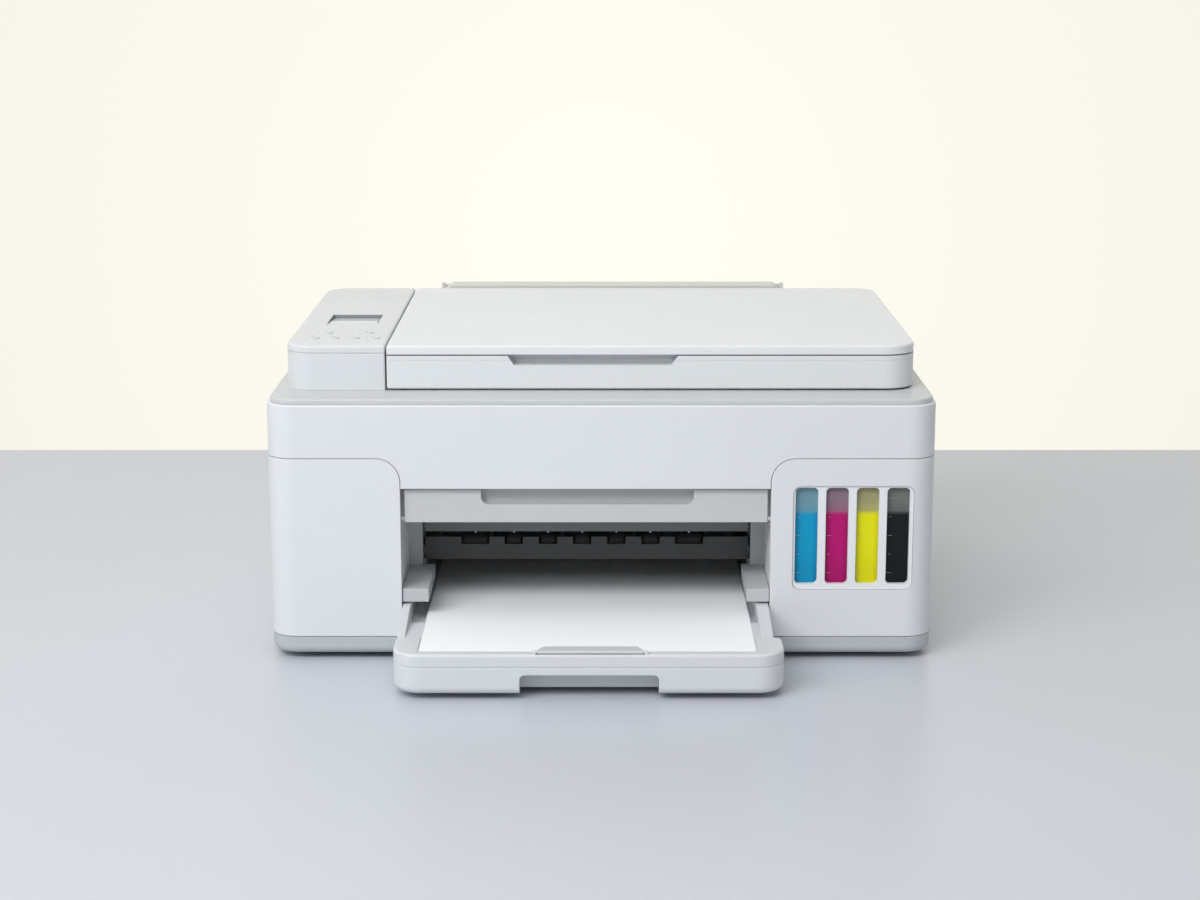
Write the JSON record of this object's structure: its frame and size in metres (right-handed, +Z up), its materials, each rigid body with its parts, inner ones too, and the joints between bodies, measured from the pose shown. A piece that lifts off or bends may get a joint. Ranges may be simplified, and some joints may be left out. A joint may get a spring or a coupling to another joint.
{
  "type": "multifunction printer",
  "caption": "Desktop ink-tank printer, copier and scanner with a hinged scanner unit and lid, a control pod, a pull-out paper cassette and clear ink tanks.",
  "frame": {"origin": "middle of the footprint at table level", "axes": "+Z up, -Y the front with the paper tray, +X to the right seen from the front"},
  "size_m": [0.434, 0.424, 0.2042],
  "materials": {
    "body_white": "fine matt moulded",
    "base_grey": "fine matt moulded",
    "deck_grey": "satin moulded",
    "lid_white": "fine matt moulded",
    "pod_white": "fine matt moulded",
    "flap_grey": "matt moulded",
    "liner_grey": "matt moulded",
    "tray_white": "fine matt moulded",
    "bezel_white": "satin moulded",
    "guide_dark": "matt moulded",
    "strip_grey": "matt moulded",
    "support_grey": "matt moulded",
    "rubber_dark": "matt",
    "glass": "clear",
    "display": "smooth clear window",
    "button": "satin moulded",
    "steel": "zinc-plated sheet",
    "board": "solder mask",
    "foam": "smooth white foam",
    "paper": "plain office paper",
    "tank_cyan": "clear tank with cyan ink",
    "tank_magenta": "clear tank with magenta ink",
    "tank_yellow": "clear tank with yellow ink",
    "tank_black": "clear tank with black ink",
    "cap_cyan": "moulded rubber",
    "cap_magenta": "moulded rubber",
    "cap_yellow": "moulded rubber",
    "cap_black": "moulded rubber",
    "belt": "toothed belt",
    "pulley": "moulded"
  },
  "bodies": {
    "frame": {"base_tray": "base_grey", "feet": "rubber_dark", "left_cover": "body_white", "right_cover": "body_white", "rear_panel": "body_white", "upper_housing": "body_white", "deck": "deck_grey", "control_pod": "pod_white", "pod_cap": "pod_white", "lcd_window": "display", "circuit_boards": "board", "bay_liner": "liner_grey", "exit_guide": "guide_dark", "star_wheel_holder": "strip_grey", "platen": "guide_dark", "carriage_frame": "steel", "carriage_rod": "steel", "carriage_belt": "belt", "carriage_motor": "steel", "power_supply": "guide_dark", "service_station": "guide_dark", "turn_guide": "guide_dark", "rear_feed_frame": "support_grey", "scanner_hinges": "body_white", "tank_bezel": "bezel_white", "ink_tank_cyan": "tank_cyan", "ink_tank_magenta": "tank_magenta", "ink_tank_yellow": "tank_yellow", "ink_tank_black": "tank_black"},
    "scanner_unit": {"scanner_body": "body_white", "scanner_bezel": "body_white", "scan_glass": "glass", "scan_rail": "steel"},
    "scan_bar": {"scan_carriage": "guide_dark"},
    "lid": {"lid": "lid_white", "lid_pad": "foam"},
    "flap": {"output_flap": "flap_grey"},
    "cassette": {"cassette_base": "tray_white", "output_tray": "tray_white", "paper_sheet": "paper"},
    "paper_stop": {"paper_stop": "deck_grey"},
    "rear_support": {"rear_support": "support_grey"},
    "carriage": {"print_carriage": "guide_dark", "print_heads": "guide_dark"},
    "pulley": {"drive_pulley": "pulley"},
    "exit_roller": {"exit_roller": "rubber_dark"},
    "star_wheels": {"star_wheels": "steel"},
    "feed_roller": {"feed_roller": "steel"},
    "pinch_rollers": {"pinch_rollers": "rubber_dark"},
    "pickup_roller": {"pickup_roller": "rubber_dark"},
    "cap_cyan": {"tank_cap_cyan": "cap_cyan"},
    "cap_magenta": {"tank_cap_magenta": "cap_magenta"},
    "cap_yellow": {"tank_cap_yellow": "cap_yellow"},
    "cap_black": {"tank_cap_black": "cap_black"},
    "power_button": {"power_button": "button"},
    "copy_button": {"copy_button": "button"},
    "stop_button": {"stop_button": "button"},
    "start_button": {"start_button": "button"},
    "minus_button": {"minus_button": "button"},
    "plus_button": {"plus_button": "button"}
  },
  "joints": [
    {"name": "scanner_hinge", "type": "hinge", "parent": "frame", "child": "scanner_unit", "pos_m": [0, 0.1605, 0.193], "axis": [-1, 0, 0], "range_deg": [0, 35]},
    {"name": "lid_hinge", "type": "hinge", "parent": "scanner_unit", "child": "lid", "pos_m": [0, 0.163, 0.1985], "axis": [-1, 0, 0], "range_deg": [0, 65]},
    {"name": "scan_slide", "type": "slide", "parent": "scanner_unit", "child": "scan_bar", "axis": [1, 0, 0], "range_m": [-0.012, 0.288]},
    {"name": "flap_hinge", "type": "hinge", "parent": "frame", "child": "flap", "pos_m": [0, -0.12, 0.094], "axis": [1, 0, 0], "range_deg": [0, 80]},
    {"name": "cassette_slide", "type": "slide", "parent": "frame", "child": "cassette", "axis": [0, -1, 0], "range_m": [-0.046, 0.12]},
    {"name": "paper_stop_hinge", "type": "hinge", "parent": "cassette", "child": "paper_stop", "pos_m": [-0.0068, -0.2094, 0.0308], "axis": [1, 0, 0], "range_deg": [0, 85]},
    {"name": "rear_support_hinge", "type": "hinge", "parent": "frame", "child": "rear_support", "pos_m": [0, 0.1924, 0.2023], "axis": [-1, 0, 0], "range_deg": [0, 110]},
    {"name": "carriage_slide", "type": "slide", "parent": "frame", "child": "carriage", "axis": [1, 0, 0], "range_m": [-0.315, 0.008]},
    {"name": "pulley_spin", "type": "hinge", "parent": "frame", "child": "pulley", "pos_m": [-0.182, 0.0095, 0.122], "axis": [0, 1, 0], "continuous": true},
    {"name": "feed_spin", "type": "hinge", "parent": "frame", "child": "feed_roller", "pos_m": [-0.01015, 0.002, 0.0602], "axis": [1, 0, 0], "continuous": true},
    {"name": "exit_spin", "type": "hinge", "parent": "frame", "child": "exit_roller", "pos_m": [-0.01015, -0.0525, 0.0613], "axis": [1, 0, 0], "continuous": true},
    {"name": "star_spin", "type": "hinge", "parent": "frame", "child": "star_wheels", "pos_m": [-0.01015, -0.0525, 0.0721], "axis": [1, 0, 0], "continuous": true},
    {"name": "pinch_spin", "type": "hinge", "parent": "frame", "child": "pinch_rollers", "pos_m": [-0.01015, 0.002, 0.0708], "axis": [1, 0, 0], "continuous": true},
    {"name": "pickup_spin", "type": "hinge", "parent": "frame", "child": "pickup_roller", "pos_m": [-0.01015, 0.159, 0.031], "axis": [1, 0, 0], "continuous": true},
    {"name": "cap_cyan_hinge", "type": "hinge", "parent": "frame", "child": "cap_cyan", "pos_m": [0.1332, -0.069, 0.1483], "axis": [-1, 0, 0], "range_deg": [0, 85]},
    {"name": "cap_magenta_hinge", "type": "hinge", "parent": "frame", "child": "cap_magenta", "pos_m": [0.153, -0.069, 0.1483], "axis": [-1, 0, 0], "range_deg": [0, 85]},
    {"name": "cap_yellow_hinge", "type": "hinge", "parent": "frame", "child": "cap_yellow", "pos_m": [0.1728, -0.069, 0.1483], "axis": [-1, 0, 0], "range_deg": [0, 85]},
    {"name": "cap_black_hinge", "type": "hinge", "parent": "frame", "child": "cap_black", "pos_m": [0.1926, -0.069, 0.1483], "axis": [-1, 0, 0], "range_deg": [0, 85]},
    {"name": "power_button_press", "type": "slide", "parent": "frame", "child": "power_button", "axis": [0, 0, -1], "range_m": [0, 0.0008], "stiffness_N_per_m": 900, "springref_m": -0.0006},
    {"name": "copy_button_press", "type": "slide", "parent": "frame", "child": "copy_button", "axis": [0, 0, -1], "range_m": [0, 0.0008], "stiffness_N_per_m": 900, "springref_m": -0.0006},
    {"name": "stop_button_press", "type": "slide", "parent": "frame", "child": "stop_button", "axis": [0, 0, -1], "range_m": [0, 0.0008], "stiffness_N_per_m": 900, "springref_m": -0.0006},
    {"name": "start_button_press", "type": "slide", "parent": "frame", "child": "start_button", "axis": [0, 0, -1], "range_m": [0, 0.0008], "stiffness_N_per_m": 900, "springref_m": -0.0006},
    {"name": "minus_button_press", "type": "slide", "parent": "frame", "child": "minus_button", "axis": [0, 0, -1], "range_m": [0, 0.0008], "stiffness_N_per_m": 900, "springref_m": -0.0006},
    {"name": "plus_button_press", "type": "slide", "parent": "frame", "child": "plus_button", "axis": [0, 0, -1], "range_m": [0, 0.0008], "stiffness_N_per_m": 900, "springref_m": -0.0006}
  ],
  "couplings": [
    {"joint": "exit_spin", "follows": "feed_spin", "ratio": 1.1455},
    {"joint": "star_spin", "follows": "feed_spin", "ratio": -1.26},
    {"joint": "pinch_spin", "follows": "feed_spin", "ratio": -1.575},
    {"joint": "pickup_spin", "follows": "feed_spin", "ratio": 0.7},
    {"joint": "pulley_spin", "follows": "carriage_slide", "rad_per_m": 166.67}
  ]
}
